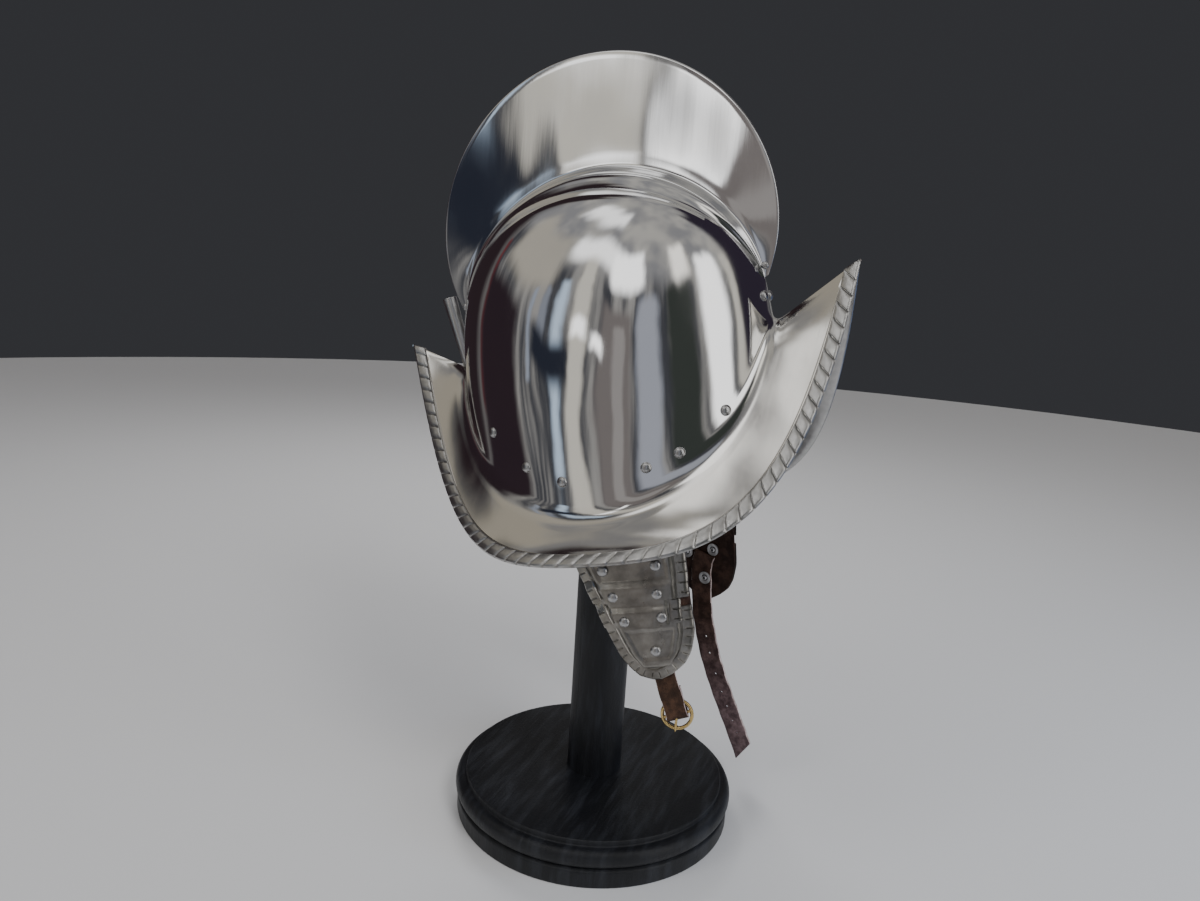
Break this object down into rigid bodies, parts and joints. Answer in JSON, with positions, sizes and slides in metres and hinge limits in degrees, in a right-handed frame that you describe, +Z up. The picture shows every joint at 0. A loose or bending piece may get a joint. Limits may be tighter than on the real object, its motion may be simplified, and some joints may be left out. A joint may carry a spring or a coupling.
{
  "type": "morion helmet on display stand",
  "caption": "Combed morion helmet of polished steel with peaked roped brim, plume holder, cheek pieces, chin straps and buckle, resting on a turned black display stand.",
  "frame": {"origin": "centre of the stand's underside, on the surface that it stands on", "axes": "+Z up along the post; -Y towards the helmet's front peak; -X the wearer's right"},
  "size_m": [0.235, 0.3268, 0.5488],
  "materials": {
    "polished_steel": "mirror polished steel with faint scratches",
    "worked_steel": "satin steel, darker in the filed cuts",
    "rivet_steel": "polished domed rivets",
    "brown_leather": "dark brown leather, rough on its flesh side",
    "brass": "polished brass",
    "black_painted_wood": "satin black paint"
  },
  "bodies": {
    "root": {"buckle_prong": "brass", "buckle_ring": "brass", "buckle_strap": "brown_leather", "cheek_lame_lower_left": "worked_steel", "cheek_lame_lower_right": "worked_steel", "cheek_lame_middle_left": "worked_steel", "cheek_lame_middle_right": "worked_steel", "cheek_lame_upper_left": "worked_steel", "cheek_lame_upper_right": "worked_steel", "cheek_leather_left": "brown_leather", "cheek_leather_right": "brown_leather", "cheek_rivet_lower_front_left": "rivet_steel", "cheek_rivet_lower_front_right": "rivet_steel", "cheek_rivet_lower_rear_left": "rivet_steel", "cheek_rivet_lower_rear_right": "rivet_steel", "cheek_rivet_middle_front_left": "rivet_steel", "cheek_rivet_middle_front_right": "rivet_steel", "cheek_rivet_middle_rear_left": "rivet_steel", "cheek_rivet_middle_rear_right": "rivet_steel", "cheek_rivet_strap_left": "rivet_steel", "cheek_rivet_strap_right": "rivet_steel", "cheek_rivet_upper_front_left": "rivet_steel", "cheek_rivet_upper_front_right": "rivet_steel", "cheek_rivet_upper_rear_left": "rivet_steel", "cheek_rivet_upper_rear_right": "rivet_steel", "comb_rivet_front": "rivet_steel", "comb_rivet_rear": "rivet_steel", "helmet_bowl": "polished_steel", "keel_rivet_left": "rivet_steel", "keel_rivet_right": "rivet_steel", "long_strap": "brown_leather", "plume_holder": "polished_steel", "skull_rivet_cheek_front_left": "rivet_steel", "skull_rivet_cheek_front_right": "rivet_steel", "skull_rivet_cheek_rear_left": "rivet_steel", "skull_rivet_cheek_rear_right": "rivet_steel", "skull_rivet_front_left": "rivet_steel", "skull_rivet_front_mid_left": "rivet_steel", "skull_rivet_front_mid_right": "rivet_steel", "skull_rivet_front_right": "rivet_steel", "skull_rivet_rear_left": "rivet_steel", "skull_rivet_rear_mid_left": "rivet_steel", "skull_rivet_rear_mid_right": "rivet_steel", "skull_rivet_rear_right": "rivet_steel", "stand_base": "black_painted_wood", "stand_post": "black_painted_wood"}
  },
  "joints": []
}
